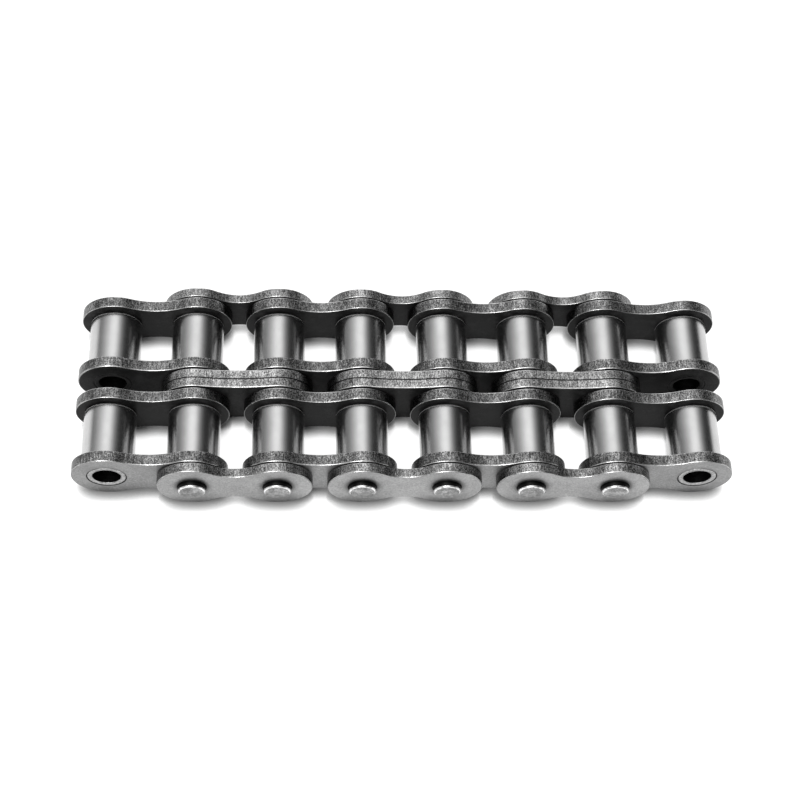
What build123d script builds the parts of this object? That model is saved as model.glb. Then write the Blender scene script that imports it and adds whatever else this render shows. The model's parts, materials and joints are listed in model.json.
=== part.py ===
from build123d import *
import os
from math import hypot

os.makedirs("parts", exist_ok=True)

# A double-strand (duplex) steel roller chain, in millimetres. +X runs along the chain, Y runs across it
# along the pins (the front strand is on the -Y side) and +Z is up. The chain lies flat on Z = 0.

# ---- Driving dimensions -------------------------------------------------------------------------------
pitch = 25.4  # from one pin to the next along the chain
strand_pitch = 31.88  # from the middle of one strand to the middle of the other
positions = 8  # roller positions in each strand; an inner link covers 1-2, 3-4, 5-6 and 7-8

roller_diameter = 15.88
inner_width = 17.6  # between the two plates of an inner link, where the sprocket tooth goes
plate_height = 21.08

pin_diameter = 8.28
pin_protrusion = 1.8  # beyond the outer plates
pin_chamfer = 0.5
bush_diameter = 11.4
bush_clearance = 0.04  # between pin and bush, on the radius
roller_clearance = 0.1  # between bush and roller, on the radius
roller_end_gap = 0.25  # between a roller and the plate beside it

inner_plate_thickness = 3.6
outer_plate_thickness = 3.0  # the middle plates, between the strands, are as thick
side_gap = 0.4  # between an inner link and the outer plate beside it

# height of each kind of plate halfway between its two holes
inner_waist = 15.6
outer_waist = 13.2
middle_waist = 19.0

# ---- Derived dimensions -------------------------------------------------------------------------------
end_radius = plate_height / 2
axis_height = end_radius  # every plate rests on its round ends
half_inner_link = inner_width / 2 + inner_plate_thickness
half_strand = half_inner_link + side_gap + outer_plate_thickness
pin_length = strand_pitch + 2 * (half_strand + pin_protrusion)

strands = {"front": -1, "back": 1}


def pin_x(position):
    """X of the pin axis at a roller position, with the chain centred on X = 0."""
    return (position - (positions + 1) / 2) * pitch


def across(x, y):
    """A plane square to the pins, with its origin on the pin line at (x, y)."""
    return Plane(origin=(x, y, axis_height), x_dir=(1, 0, 0), z_dir=(0, -1, 0))


def finish(part, name):
    """Label a finished piece and write it to its own file."""
    part.label = name
    export_step(part, f"parts/{name}.step")


# ---- Shapes -------------------------------------------------------------------------------------------
def link_plate(x, y, thickness, waist, hole):
    """A link plate centred on (x, y): round ends about both holes, drawn in to the waist by tangent arcs."""
    reach = pitch / 2
    half_waist = waist / 2
    # the waist arc's centre is outside the plate, and the arc touches both end circles
    waist_radius = (reach**2 + half_waist**2 - end_radius**2) / (2 * (end_radius - half_waist))
    centre_height = half_waist + waist_radius
    along = end_radius / hypot(reach, centre_height)
    joint_x, joint_z = reach * (1 - along), centre_height * along

    with BuildPart() as plate:
        with BuildSketch(across(x, y)):
            with BuildLine():
                ThreePointArc((-joint_x, joint_z), (0, half_waist), (joint_x, joint_z))
                ThreePointArc((joint_x, joint_z), (reach + end_radius, 0), (joint_x, -joint_z))
                ThreePointArc((joint_x, -joint_z), (0, -half_waist), (-joint_x, -joint_z))
                ThreePointArc((-joint_x, -joint_z), (-reach - end_radius, 0), (-joint_x, joint_z))
            make_face()
            with Locations((-reach, 0), (reach, 0)):
                Circle(hole / 2, mode=Mode.SUBTRACT)
        extrude(amount=thickness / 2, both=True)
    return plate.part


def tube(x, y, outside, bore, length):
    """A plain tube about a pin axis, centred on (x, y)."""
    with BuildPart() as body:
        with BuildSketch(across(x, y)):
            Circle(outside / 2)
            Circle(bore / 2, mode=Mode.SUBTRACT)
        extrude(amount=length / 2, both=True)
    return body.part


# ---- Rollers and bushes, one of each at every position of both strands --------------------------------
bush_bore = pin_diameter + 2 * bush_clearance
for strand, side in strands.items():
    strand_y = side * strand_pitch / 2
    for position in range(1, positions + 1):
        roller = tube(
            pin_x(position),
            strand_y,
            roller_diameter,
            bush_diameter + 2 * roller_clearance,
            inner_width - 2 * roller_end_gap,
        )
        finish(roller, f"roller_{position}_{strand}")
        bush = tube(pin_x(position), strand_y, bush_diameter, bush_bore, 2 * half_inner_link)
        finish(bush, f"bush_{position}_{strand}")

# ---- Inner links: two plates a strand, pressed on the bushes of positions 1-2, 3-4, 5-6 and 7-8 --------
for link in range(1, positions // 2 + 1):
    middle_x = pin_x(2 * link - 0.5)
    for strand, side in strands.items():
        for place, outward in {"outside": 1, "inside": -1}.items():
            offset = (inner_width + inner_plate_thickness) / 2
            plate = link_plate(
                middle_x,
                side * (strand_pitch / 2 + outward * offset),
                inner_plate_thickness,
                inner_waist,
                bush_diameter,
            )
            finish(plate, f"inner_plate_{link}_{strand}_{place}")

# ---- Outer links: two long pins, a plate at each end and a pair of plates between the strands ----------
for link in range(1, positions // 2):
    middle_x = pin_x(2 * link + 0.5)
    for strand, side in strands.items():
        plate_y = side * (strand_pitch / 2 + half_strand - outer_plate_thickness / 2)
        plate = link_plate(middle_x, plate_y, outer_plate_thickness, outer_waist, pin_diameter)
        finish(plate, f"outer_plate_{link}_{strand}")

    # the two middle plates touch face to face, so they are kept apart in a compound: a builder would fuse them
    middle_plates = [
        link_plate(
            middle_x,
            side * outer_plate_thickness / 2,
            outer_plate_thickness,
            middle_waist,
            pin_diameter,
        )
        for side in strands.values()
    ]
    finish(Compound(children=middle_plates), f"middle_plates_{link}")

    with BuildPart() as pins:
        with BuildSketch(across(middle_x, 0)):
            with Locations((-pitch / 2, 0), (pitch / 2, 0)):
                Circle(pin_diameter / 2)
        extrude(amount=pin_length / 2, both=True)
        chamfer(pins.faces().filter_by(Axis.Y).edges(), pin_chamfer)
    finish(pins.part, f"pins_{link}")
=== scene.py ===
"""The looks of a duplex roller chain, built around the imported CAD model.

Every piece is made again here with rounded edges and its own finish, in the place and size of its CAD node.
"""
import json
import math

import bmesh
import bpy
from mathutils import Matrix, Vector

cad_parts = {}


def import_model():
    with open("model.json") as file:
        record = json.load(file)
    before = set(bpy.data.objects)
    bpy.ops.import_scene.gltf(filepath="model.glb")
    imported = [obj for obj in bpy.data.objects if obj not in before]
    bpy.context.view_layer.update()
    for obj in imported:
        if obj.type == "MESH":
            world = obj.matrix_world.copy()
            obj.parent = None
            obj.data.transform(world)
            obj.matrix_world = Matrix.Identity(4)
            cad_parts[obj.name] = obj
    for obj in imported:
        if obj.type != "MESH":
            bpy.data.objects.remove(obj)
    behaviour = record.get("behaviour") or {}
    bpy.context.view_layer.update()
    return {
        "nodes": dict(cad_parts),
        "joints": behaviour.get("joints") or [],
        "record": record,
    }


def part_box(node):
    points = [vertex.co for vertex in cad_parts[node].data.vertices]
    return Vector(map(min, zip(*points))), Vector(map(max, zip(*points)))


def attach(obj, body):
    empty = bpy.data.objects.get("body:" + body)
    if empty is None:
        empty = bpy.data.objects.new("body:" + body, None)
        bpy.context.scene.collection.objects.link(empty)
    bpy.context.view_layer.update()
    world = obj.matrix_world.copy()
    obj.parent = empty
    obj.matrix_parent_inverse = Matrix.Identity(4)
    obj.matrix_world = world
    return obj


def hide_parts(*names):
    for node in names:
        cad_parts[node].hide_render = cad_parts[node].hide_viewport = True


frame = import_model()

# ---- Sizes in metres; the frame gives the rest ---------------------------------------------------
MM = 0.001
AXIS_HEIGHT = frame["joints"][0]["pos_m"][2]
PITCH = 25.4 * MM
END_AXIS = 3.5 * PITCH  # from the middle of the chain to the axis of its last roller
BUSH_BORE = frame["record"]["mounts"][0]["dims"]["r_mm"] * MM
HALF_WAIST = {"inner": 7.8 * MM, "outer": 6.6 * MM, "middle": 9.5 * MM}

ROLLOVER = 0.3 * MM  # rounding of a plate on the side that the punch came from, which faces outwards
BREAK = 0.2 * MM  # rounding on the other side
SEAT = 0.34 * MM  # countersink of the holes
PIN_CHAMFER = 0.5 * MM
ROLLER_ROUND = 0.7 * MM
ROLLER_CLEARANCE = 0.1 * MM  # between a roller and its bush
BUSH_BREAK = 0.22 * MM
PIN_SHADE_RISE = 0.7 * MM  # how much higher than the pins the painted shade round them on the plates is centred

END_STEPS, WAIST_STEPS, HOLE_STEPS, LATHE_STEPS = 64, 16, 72, 144
ROUND_STEPS = 5

OUTWARD = {"front": -1, "back": 1}  # the way that the outside of each strand faces along Y
BODY_OF = {node: body for body, nodes in frame["record"]["behaviour"]["bodies"].items() for node in nodes}

# Material slots of a link plate, a tube and a pin.
EDGE, RIM, OUTWARD_FACE, INWARD_FACE, SEAM = range(5)
OUTSIDE, FRONT_END, BORE, BACK_END = range(4)
SIDE, CHAMFER, END = range(3)


# ---- Node helpers --------------------------------------------------------------------------------
def set_stops(ramp, stops):
    """Gives a colour ramp its (position, grey) stops; the first and last use the two that it has."""
    elements = ramp.color_ramp.elements
    for element, (position, grey) in zip((elements[0], elements[-1]), (stops[0], stops[-1])):
        element.position = position
        element.color = (grey, grey, grey, 1)
    for position, grey in stops[1:-1]:
        elements.new(position).color = (grey, grey, grey, 1)


class Nodes:
    """A material's node tree, with short calls for the nodes used here."""

    def __init__(self, name):
        self.material = bpy.data.materials.new(name)
        self.material.use_nodes = True
        self.tree = self.material.node_tree
        self.shader = self.tree.nodes["Principled BSDF"]
        self.coordinates = self.add("ShaderNodeTexCoord").outputs

    def add(self, kind, **values):
        """A new node, with values for its settings and sockets."""
        node = self.tree.nodes.new(kind)
        for key, value in values.items():
            if hasattr(node, key):
                setattr(node, key, value)
            else:
                node.inputs[key].default_value = value
        return node

    def link(self, output, node, socket):
        self.tree.links.new(output, node.inputs[socket])

    def noise(self, size_mm, detail=3.0, roughness=0.55):
        """Noise from 0 to 1 whose lumps measure size_mm along X, Y and Z."""
        mapping = self.add("ShaderNodeMapping", vector_type="POINT")
        mapping.inputs["Scale"].default_value = [1 / (size * MM) for size in size_mm]
        self.link(self.coordinates["Object"], mapping, "Vector")
        noise = self.add("ShaderNodeTexNoise", Scale=1.0, Detail=detail, Roughness=roughness)
        self.link(mapping.outputs["Vector"], noise, "Vector")
        return noise.outputs["Fac"]

    def ramp(self, value, stops):
        """A grey for each value: stops are (position, grey)."""
        ramp = self.add("ShaderNodeValToRGB")
        set_stops(ramp, stops)
        self.link(value, ramp, "Fac")
        return ramp.outputs["Color"]

    def math(self, operation, a, b):
        """One operation on two numbers or sockets."""
        node = self.add("ShaderNodeMath", operation=operation)
        for index, value in enumerate((a, b)):
            if isinstance(value, (int, float)):
                node.inputs[index].default_value = value
            else:
                self.tree.links.new(value, node.inputs[index])
        return node.outputs["Value"]

    def blend(self, *parts):
        """The sum of some values, each times its share: parts are (value, share)."""
        total, *others = [self.math("MULTIPLY", value, share) for value, share in parts]
        for other in others:
            total = self.math("ADD", total, other)
        return total

    def axes(self, vector):
        """A vector's components, as sockets named X, Y and Z."""
        split = self.add("ShaderNodeSeparateXYZ")
        self.link(vector, split, "Vector")
        return split.outputs

    def painted_shade_below(self):
        """1 where a flat link faces up, down to less on its sides and underside, as painted shade."""
        normal = self.axes(self.coordinates["Normal"])
        share = self.math("ADD", self.math("MULTIPLY", normal["Z"], 0.5), 0.5)
        return self.ramp(share, [(0.4, 0.2), (0.6, 0.35), (0.8, 0.7), (0.95, 1.0)])

    def high_spots(self):
        """1 on the humps of a flat link, and less on the waist below them."""
        point = self.axes(self.coordinates["Object"])
        height = self.math("MULTIPLY", point["Z"], 1 / (2 * AXIS_HEIGHT))
        return self.ramp(height, [(0.8, 0.72), (0.97, 1.0)])

    def painted_pin_shade(self):
        """1 on a plate's face, down to less in a painted shade round each pin, most of it above."""
        point = self.axes(self.coordinates["Object"])
        offset = self.add("ShaderNodeCombineXYZ")
        self.link(self.math("PINGPONG", self.math("ADD", point["X"], END_AXIS), PITCH / 2), offset, "X")
        self.link(self.math("SUBTRACT", point["Z"], AXIS_HEIGHT + PIN_SHADE_RISE), offset, "Z")
        distance = self.add("ShaderNodeVectorMath", operation="LENGTH")
        self.link(offset.outputs["Vector"], distance, "Vector")
        share = self.math("DIVIDE", distance.outputs["Value"], PITCH / 2)
        return self.ramp(share, [(0.3, 0.1), (0.37, 0.36), (0.44, 0.8), (0.53, 1.0)])

    def bump(self, height, depth_mm, strength, below=None):
        """A normal for the bumps of a height, on top of those of the normal below."""
        node = self.add("ShaderNodeBump", Strength=strength, Distance=depth_mm * MM)
        self.link(height, node, "Height")
        if below is not None:
            self.link(below, node, "Normal")
        return node.outputs["Normal"]

    def finish(self, colour, roughness, normal=None, metallic=1.0):
        """Sets the shader's inputs from numbers or sockets, and gives the material."""
        self.shader.inputs["Metallic"].default_value = metallic
        for socket, value in (("Base Color", colour), ("Roughness", roughness), ("Normal", normal)):
            if isinstance(value, (int, float)):
                grey = (value, value, value, 1)
                self.shader.inputs[socket].default_value = grey if socket == "Base Color" else value
            elif value is not None:
                self.link(value, self.shader, socket)
        return self.material


# ---- Finishes ------------------------------------------------------------------------------------
def rolled_face(name, greys):
    """Outward faces of the plates: smooth matte grey steel with a very fine grain, and painted shade round
    each pin.
    """
    n = Nodes(name)
    cloud = n.noise((9, 9, 9), detail=2)
    grain = n.noise((0.42, 0.42, 0.42), detail=4, roughness=0.75)
    tone = n.blend((cloud, 0.3), (grain, 0.7))
    colour = n.math("MULTIPLY", n.ramp(tone, list(zip((0.36, 0.5, 0.64), greys))), n.painted_pin_shade())
    roughness = n.ramp(cloud, [(0.3, 0.42), (0.7, 0.5)])
    return n.finish(colour, roughness, n.bump(grain, depth_mm=0.04, strength=0.4))


def oiled_face():
    """Faces inside the chain: the same plate in a near-black painted shade, as falls between the parts."""
    n = Nodes("oiled_face")
    cloud = n.noise((5, 5, 5), detail=3)
    grain = n.noise((0.45, 0.45, 0.45), detail=4, roughness=0.7)
    colour = n.ramp(n.blend((cloud, 0.6), (grain, 0.4)), [(0.38, 0.005), (0.5, 0.012), (0.62, 0.034)])
    roughness = n.ramp(cloud, [(0.3, 0.38), (0.7, 0.55)])
    n.shader.inputs["Specular IOR Level"].default_value = 0.07
    return n.finish(colour, roughness, n.bump(grain, depth_mm=0.07, strength=0.6), metallic=0.0)


def punched_edge(name, greys):
    """Sheared edges of the plates: speckled, with streaks through the thickness, darker on the waist, with
    painted shade where they face sideways or down.
    """
    n = Nodes(name)
    streaks = n.noise((0.4, 2.4, 0.4), detail=3, roughness=0.65)
    speckle = n.noise((0.36, 0.5, 0.36), detail=3, roughness=0.75)
    patches = n.noise((3.5, 5.0, 3.5), detail=2)
    tone = n.blend((streaks, 0.3), (speckle, 0.55), (patches, 0.15))
    colour = n.math("MULTIPLY", n.ramp(tone, list(zip((0.4, 0.48, 0.55, 0.64), greys))), n.painted_shade_below())
    colour = n.math("MULTIPLY", colour, n.high_spots())
    roughness = n.ramp(speckle, [(0.38, 0.24), (0.62, 0.36)])
    normal = n.bump(streaks, depth_mm=0.1, strength=0.5)
    normal = n.bump(speckle, depth_mm=0.1, strength=0.7, below=normal)
    return n.finish(colour, roughness, normal)


def burnished_rim():
    """Rounded rims of the plates, rubbed bright, with painted shade where they face sideways or down."""
    n = Nodes("burnished_rim")
    wear = n.noise((0.8, 0.8, 0.8), detail=4, roughness=0.7)
    colour = n.ramp(wear, [(0.36, 0.45), (0.5, 0.6), (0.6, 0.8)])
    colour = n.math("MULTIPLY", colour, n.painted_shade_below())
    return n.finish(colour, 0.26, n.bump(wear, depth_mm=0.02, strength=0.3))


def ground_roller():
    """Rollers: smooth dark ground steel, with faint turning marks."""
    n = Nodes("ground_roller")
    marks = n.noise((40, 0.12, 40), detail=2)
    cloud = n.noise((4, 6, 4), detail=2)
    colour = n.ramp(cloud, [(0.3, 0.48), (0.7, 0.53)])
    roughness = n.ramp(marks, [(0.3, 0.22), (0.7, 0.26)])
    return n.finish(colour, roughness, n.bump(marks, depth_mm=0.008, strength=0.25))


def rubbed_corner():
    """End corners of the rollers, dull, in a light colour that is a painted highlight."""
    n = Nodes("rubbed_corner")
    wear = n.noise((0.8, 0.8, 0.8), detail=3)
    colour = n.ramp(wear, [(0.35, 0.7), (0.6, 0.9)])
    return n.finish(colour, 0.55, n.bump(wear, depth_mm=0.03, strength=0.3))


def pin_side():
    """Sides of the pins: near black, a painted shade."""
    n = Nodes("pin_side")
    marks = n.noise((30, 0.06, 30), detail=2)
    return n.finish(n.ramp(marks, [(0.3, 0.02), (0.7, 0.05)]), 0.35)


def pin_end():
    """Cut ends of the pins: light grey, with the marks of facing."""
    n = Nodes("pin_end")
    marks = n.noise((0.6, 0.6, 0.6), detail=4, roughness=0.7)
    cloud = n.noise((2.2, 2.2, 2.2), detail=2)
    tone = n.blend((marks, 0.6), (cloud, 0.4))
    colour = n.ramp(tone, [(0.38, 0.12), (0.5, 0.24), (0.62, 0.46)])
    return n.finish(colour, 0.4, n.bump(tone, depth_mm=0.12, strength=0.6))


def bright_chamfer():
    """Chamfers of the pins, in a light colour that is a painted highlight."""
    n = Nodes("bright_chamfer")
    wear = n.noise((0.9, 0.9, 0.9), detail=3)
    colour = n.ramp(wear, [(0.35, 0.5), (0.55, 0.95)])
    return n.finish(colour, 0.34, n.bump(wear, depth_mm=0.04, strength=0.3))


def bush_steel():
    """Walls of the bushes, and their ends that can be seen, level with the plates."""
    n = Nodes("bush_steel")
    marks = n.noise((0.5, 0.5, 0.5), detail=3)
    colour = n.ramp(marks, [(0.36, 0.24), (0.64, 0.46)])
    return n.finish(colour, 0.4, n.bump(marks, depth_mm=0.05, strength=0.4))


def black_bore():
    """Bores, and the seams round the bushes and pins, painted black as the shade in these hollows and
    creases.
    """
    n = Nodes("black_bore")
    marks = n.noise((1.5, 1, 1.5), detail=2)
    return n.finish(n.ramp(marks, [(0.3, 0.008), (0.7, 0.025)]), 0.5)


MATERIALS = {
    "outer_face": rolled_face("outer_face", (0.215, 0.32, 0.45)),
    "inner_face": rolled_face("inner_face", (0.18, 0.255, 0.37)),
    "outer_edge": punched_edge("outer_edge", (0.05, 0.2, 0.45, 0.95)),
    "inner_edge": punched_edge("inner_edge", (0.035, 0.125, 0.31, 0.8)),
    "oiled_face": oiled_face(),
    "burnished_rim": burnished_rim(),
    "ground_roller": ground_roller(),
    "rubbed_corner": rubbed_corner(),
    "pin_side": pin_side(),
    "pin_end": pin_end(),
    "bright_chamfer": bright_chamfer(),
    "bush_steel": bush_steel(),
    "black_bore": black_bore(),
}


# ---- Mesh helpers --------------------------------------------------------------------------------
def arc(start, end, steps):
    """Angles from start to just before end."""
    return [start + (end - start) * step / steps for step in range(steps)]


def quarter_turns():
    """Angles of the points round a rounded edge, from 0 to a quarter turn."""
    return [math.pi / 2 * step / ROUND_STEPS for step in range(ROUND_STEPS + 1)]


def bridge(bm, loop_a, loop_b, material):
    """Quads between two closed loops of as many points."""
    for i, _ in enumerate(loop_a):
        j = (i + 1) % len(loop_a)
        bm.faces.new((loop_a[i], loop_a[j], loop_b[j], loop_b[i])).material_index = material


def edges_of(bm, loop):
    return [bm.edges.get((loop[i], loop[(i + 1) % len(loop)])) for i in range(len(loop))]


def to_piece(bm, name, node, materials):
    """Turns a bmesh into a piece that stands for a CAD node and rides on its body."""
    bmesh.ops.recalc_face_normals(bm, faces=bm.faces)
    mesh = bpy.data.meshes.new(name)
    bm.to_mesh(mesh)
    bm.free()
    mesh.shade_smooth()
    for material in materials:
        mesh.materials.append(MATERIALS[material])
    piece = bpy.data.objects.new(name, mesh)
    bpy.context.scene.collection.objects.link(piece)
    piece.modifiers.new("normals", "WEIGHTED_NORMAL").weight = 100
    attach(piece, BODY_OF[node])
    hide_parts(node)


# ---- Link plates ---------------------------------------------------------------------------------
def plate_outline(reach, radius, half_waist, inset):
    """(x, z) points round a plate: two end circles joined by tangent waist arcs, all drawn in by inset."""
    waist_radius = (reach**2 + half_waist**2 - radius**2) / (2 * (radius - half_waist))
    height = half_waist + waist_radius
    swing = math.atan2(reach, height)
    outside, inside = waist_radius + inset, radius - inset
    quarter = math.pi / 2
    half = [(outside * math.sin(a), height - outside * math.cos(a)) for a in arc(-swing, swing, WAIST_STEPS)]
    half += [
        (reach + inside * math.cos(a), inside * math.sin(a))
        for a in arc(quarter + swing, -quarter - swing, END_STEPS)
    ]
    return half + [(-x, -z) for x, z in half]


def circle(x, radius):
    return [(x + radius * math.cos(a), radius * math.sin(a)) for a in arc(0, 2 * math.pi, HOLE_STEPS)]


def wall_profile(half_thickness, outward, round_out, round_in):
    """(inset, y) points through the thickness of a plate, from the face that looks outward to the other."""
    points = []
    for turn in quarter_turns():
        depth = half_thickness - round_out * (1 - math.cos(turn))
        points.append((round_out * (1 - math.sin(turn)), outward * depth))
    for turn in quarter_turns():
        depth = half_thickness - round_in * (1 - math.sin(turn))
        points.append((round_in * (1 - math.cos(turn)), -outward * depth))
    return points


def link_plate(name, node, box, kind, hole_radius, outward, faces):
    """A plate with a punched outline and two holes. faces are its outward and inward materials."""
    low, high = box
    centre = (low + high) / 2
    radius = (high.z - low.z) / 2
    reach = (high.x - low.x) / 2 - radius
    half_thickness = (high.y - low.y) / 2
    bm = bmesh.new()

    def loop(points, y):
        return [bm.verts.new((centre.x + x, centre.y + y, centre.z + z)) for x, z in points]

    profile = wall_profile(half_thickness, outward, ROLLOVER, BREAK)
    walls = [[loop(plate_outline(reach, radius, HALF_WAIST[kind], inset), y) for inset, y in profile]]
    profile = wall_profile(half_thickness, outward, SEAT, SEAT)
    for x in (-reach, reach):
        walls.append([loop(circle(x, hole_radius + inset), y) for inset, y in profile])
    for number, rings in enumerate(walls):
        for index, (ring_a, ring_b) in enumerate(zip(rings, rings[1:])):
            # Hole walls, and the crease in the middle of a middle plate, take the black painted shade.
            if number > 0 or (kind == "middle" and index > ROUND_STEPS):
                material = SEAM
            else:
                material = EDGE if index == ROUND_STEPS else RIM
            bridge(bm, ring_a, ring_b, material)
    for place, material in ((0, OUTWARD_FACE), (-1, INWARD_FACE)):
        border = [edge for rings in walls for edge in edges_of(bm, rings[place])]
        filled = bmesh.ops.triangle_fill(bm, use_beauty=True, use_dissolve=False, edges=border)
        for face in filled["geom"]:
            if isinstance(face, bmesh.types.BMFace):
                face.material_index = material
    edge_steel = "inner_edge" if kind == "inner" else "outer_edge"
    to_piece(bm, name, node, [edge_steel, "burnished_rim", *faces, "black_bore"])


# ---- Round pieces --------------------------------------------------------------------------------
def lathe(name, node, centre, profile, materials):
    """A solid turned about a pin axis. profile lists (radius, y, material slot of the wall after it)."""
    bm = bmesh.new()

    def ring(radius, y):
        turns = arc(0, 2 * math.pi, LATHE_STEPS) if radius > 0 else [0]
        return [
            bm.verts.new((centre.x + radius * math.sin(a), centre.y + y, centre.z + radius * math.cos(a)))
            for a in turns
        ]

    rings = [ring(radius, y) for radius, y, _ in profile]
    pairs = list(zip(rings, rings[1:]))
    if len(rings[0]) > 1:
        pairs.append((rings[-1], rings[0]))
    for (ring_a, ring_b), (_, _, material) in zip(pairs, profile):
        if len(ring_a) == len(ring_b):
            bridge(bm, ring_a, ring_b, material)
            continue
        (tip,), rim = sorted((ring_a, ring_b), key=len)
        for i, point in enumerate(rim):
            bm.faces.new((tip, point, rim[(i + 1) % len(rim)])).material_index = material
    to_piece(bm, name, node, materials)


def corner(radius, half_length, round_radius, side, material):
    """Points of a tube's profile round its outer corner. side is -1 at the front and 1 at the back."""
    points = []
    for turn in quarter_turns():
        if side > 0:
            turn = math.pi / 2 - turn
        across = radius - round_radius * (1 - math.sin(turn))
        along = side * half_length - side * round_radius * (1 - math.cos(turn))
        points.append((across, along, material))
    return points


def tube(name, node, box, bore, outside_round, bore_round, materials):
    """A roller or bush. materials are those of its outside, front end, bore and back end."""
    low, high = box
    radius, half_length = (high.z - low.z) / 2, (high.y - low.y) / 2
    profile = [(bore + bore_round, -half_length, FRONT_END)]
    profile += corner(radius, half_length, outside_round, -1, FRONT_END)
    profile[-1] = (*profile[-1][:2], OUTSIDE)
    profile += corner(radius, half_length, outside_round, 1, BACK_END)
    profile.append((bore + bore_round, half_length, BACK_END))
    profile.append((bore, half_length - bore_round, BORE))
    profile.append((bore, -half_length + bore_round, FRONT_END))
    lathe(name, node, (low + high) / 2, profile, materials)


def pin(name, node, centre, radius, half_length):
    """A pin with chamfered ends."""
    flat = radius - PIN_CHAMFER
    profile = [
        (0, -half_length, END),
        (flat, -half_length, CHAMFER),
        (radius, -half_length + PIN_CHAMFER, SIDE),
        (radius, half_length - PIN_CHAMFER, CHAMFER),
        (flat, half_length, END),
        (0, half_length, END),
    ]
    lathe(name, node, centre, profile, ["pin_side", "bright_chamfer", "pin_end"])


# ---- The chain -----------------------------------------------------------------------------------
def radius_of(node):
    """The radius of a round node that lies along Y."""
    low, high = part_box(node)
    return (high.z - low.z) / 2


def halves(box):
    """A node's box cut in two across Y."""
    low, high = box
    middle = (low.y + high.y) / 2
    return {
        "front": (low, Vector((high.x, middle, high.z))),
        "back": (Vector((low.x, middle, low.z)), high),
    }


def build_chain():
    """Makes every piece, from the kind, strand and side that its node's name gives."""
    bush_radius, pin_radius = radius_of("bush_1_front"), radius_of("pins_1")
    # Faces and bush ends inside the chain take the near-black painted shade.
    for node in sorted(frame["nodes"]):
        kind, *words = node.split("_")
        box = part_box(node)
        name = f"{node}.look"
        if kind == "roller":
            materials = ["ground_roller", "rubbed_corner", "black_bore", "rubbed_corner"]
            bore = bush_radius + ROLLER_CLEARANCE
            tube(name, node, box, bore, ROLLER_ROUND, BREAK, materials)
        elif kind == "bush":
            ends = ["bush_steel", "oiled_face"] if words[1] == "front" else ["oiled_face", "bush_steel"]
            materials = ["bush_steel", ends[0], "black_bore", ends[1]]
            tube(name, node, box, BUSH_BORE, BUSH_BREAK, BUSH_BREAK, materials)
        elif kind == "inner":
            strand, side = words[2:]
            outward = OUTWARD[strand] * (1 if side == "outside" else -1)
            faces = ["inner_face" if side == "outside" else "oiled_face", "oiled_face"]
            link_plate(name, node, box, "inner", bush_radius, outward, faces)
        elif kind == "outer":
            faces = ["outer_face", "oiled_face"]
            link_plate(name, node, box, "outer", pin_radius, OUTWARD[words[2]], faces)
        elif kind == "middle":
            for strand, half in halves(box).items():
                faces = ["oiled_face", "oiled_face"]
                link_plate(f"{node}_{strand}.look", node, half, "middle", pin_radius, OUTWARD[strand], faces)
        elif kind == "pins":
            low, high = box
            for label, x in (("left", low.x + pin_radius), ("right", high.x - pin_radius)):
                centre = Vector((x, (low.y + high.y) / 2, (low.z + high.z) / 2))
                pin(f"{node}_{label}.look", node, centre, pin_radius, (high.y - low.y) / 2)


# ---- Setting -------------------------------------------------------------------------------------
# Degrees from straight up, towards +X, and the brightness of the sky there.
SKY = [
    (-88, 0.16),
    (-72, 0.24),
    (-56, 0.42),
    (-40, 0.72),
    (-26, 1.1),
    (-13, 1.5),
    (2, 1.55),
    (12, 1.2),
    (22, 0.62),
    (32, 0.25),
    (44, 0.07),
    (58, 0.025),
    (78, 0.03),
    (88, 0.1),
]
HORIZON = 0.15, 0.24  # upward parts of a direction between which the white horizon gives way to the sky

FLOOR_REACH = 30.0
FLOOR_GREY = 0.32
CONTACT_REACH = 4.6 * MM  # how far from the chain its painted contact shadow on the floor fades out

CAMERA_TURN, CAMERA_TILT, CAMERA_ROLL = -6.28, 61.38, 5.7  # azimuth, elevation and roll in degrees
CAMERA_DISTANCE = 511.4 * MM
CAMERA_AIM = -0.80 * MM, -1.97 * MM, AXIS_HEIGHT
LENS_MM, SENSOR_MM = 74.68, 36
NEAREST_SEEN = 0.01


def floor():
    """A white floor that keeps the chain's shadow, with a painted contact shadow: its white glow fades near
    the chain by ambient occlusion.
    """
    bm = bmesh.new()
    bmesh.ops.create_grid(bm, x_segments=1, y_segments=1, size=FLOOR_REACH)
    mesh = bpy.data.meshes.new("floor")
    bm.to_mesh(mesh)
    bm.free()
    obj = bpy.data.objects.new("floor", mesh)
    bpy.context.scene.collection.objects.link(obj)
    n = Nodes("floor")
    n.finish(FLOOR_GREY, 0.9, metallic=0.0)
    n.shader.inputs["Specular IOR Level"].default_value = 0.0
    nearness = n.add("ShaderNodeAmbientOcclusion", samples=16, Distance=CONTACT_REACH)
    painted_contact_shadow = n.ramp(nearness.outputs["AO"], [(0.55, 0.0), (0.7, 0.16), (0.85, 0.55), (0.96, 0.95)])
    path = n.add("ShaderNodeLightPath")
    seen = n.math("MAXIMUM", path.outputs["Is Camera Ray"], path.outputs["Is Glossy Ray"])
    seen = n.math("MAXIMUM", seen, path.outputs["Is Transmission Ray"])
    n.shader.inputs["Emission Color"].default_value = (1, 1, 1, 1)
    n.link(n.math("MULTIPLY", seen, painted_contact_shadow), n.shader, "Emission Strength")
    mesh.materials.append(n.material)


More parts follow.
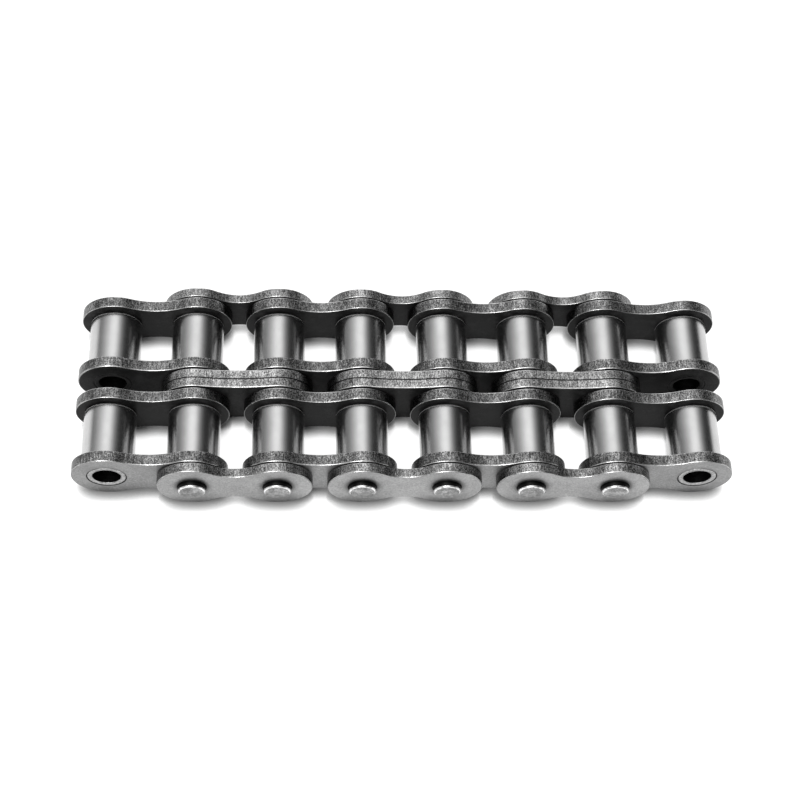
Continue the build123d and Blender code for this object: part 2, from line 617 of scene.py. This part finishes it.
def world():
    """A studio sky: white at the horizon, a bright band overhead along Y, and dark to the right of it."""
    bpy.context.scene.world = bpy.data.worlds.new("studio")
    bpy.context.scene.world.use_nodes = True
    tree = bpy.context.scene.world.node_tree
    background = tree.nodes["Background"]

    def add(kind, **values):
        node = tree.nodes.new(kind)
        for key, value in values.items():
            setattr(node, key, value)
        return node

    def share(value, start, end):
        """0 where value is start, up to 1 where it is end."""
        node = add("ShaderNodeMapRange")
        node.inputs["From Min"].default_value = start
        node.inputs["From Max"].default_value = end
        tree.links.new(value, node.inputs["Value"])
        return node.outputs["Result"]

    split = add("ShaderNodeSeparateXYZ")
    tree.links.new(add("ShaderNodeTexCoord").outputs["Generated"], split.inputs["Vector"])
    turn = add("ShaderNodeMath", operation="ARCTAN2")
    tree.links.new(split.outputs["X"], turn.inputs[0])
    tree.links.new(split.outputs["Z"], turn.inputs[1])
    sky = add("ShaderNodeValToRGB")
    set_stops(sky, [((degrees + 90) / 180, grey) for degrees, grey in SKY])
    tree.links.new(share(turn.outputs["Value"], -math.pi / 2, math.pi / 2), sky.inputs["Fac"])
    mix = add("ShaderNodeMix", data_type="RGBA")
    mix.inputs["A"].default_value = (1, 1, 1, 1)
    tree.links.new(share(split.outputs["Z"], *HORIZON), mix.inputs["Factor"])
    tree.links.new(sky.outputs["Color"], mix.inputs["B"])
    tree.links.new(mix.outputs["Result"], background.inputs["Color"])
    background.inputs["Strength"].default_value = 1.0


def lamp(name, position, target, size, power):
    """A round lamp that shines at a target."""
    data = bpy.data.lights.new(name, "AREA")
    data.shape = "DISK"
    data.size = size
    data.energy = power
    obj = bpy.data.objects.new(name, data)
    obj.location = position
    obj.rotation_euler = (Vector(target) - Vector(position)).to_track_quat("-Z", "Y").to_euler()
    bpy.context.scene.collection.objects.link(obj)


def camera():
    """The camera, turned and tilted round its aim and rolled a little."""
    azimuth, elevation, roll = (math.radians(a) for a in (CAMERA_TURN, CAMERA_TILT, CAMERA_ROLL))
    level = math.cos(elevation)
    back = Vector((math.sin(azimuth) * level, -math.cos(azimuth) * level, math.sin(elevation)))
    right = Vector((math.cos(azimuth), math.sin(azimuth), 0))
    up = back.cross(right)
    across = right * math.cos(roll) + up * math.sin(roll)
    rise = up * math.cos(roll) - right * math.sin(roll)
    data = bpy.data.cameras.new("camera")
    data.lens = LENS_MM
    data.sensor_width = SENSOR_MM
    data.clip_start = NEAREST_SEEN
    obj = bpy.data.objects.new("camera", data)
    place = Matrix.Translation(Vector(CAMERA_AIM) + back * CAMERA_DISTANCE)
    obj.matrix_world = place @ Matrix((across, rise, back)).transposed().to_4x4()
    bpy.context.scene.collection.objects.link(obj)
    bpy.context.scene.camera = obj


build_chain()
floor()
world()
lamp("key", position=(-0.5, -0.9, 1.5), target=(0, 0, 0), size=0.7, power=12)
camera()
bpy.context.scene.view_settings.view_transform = "Standard"
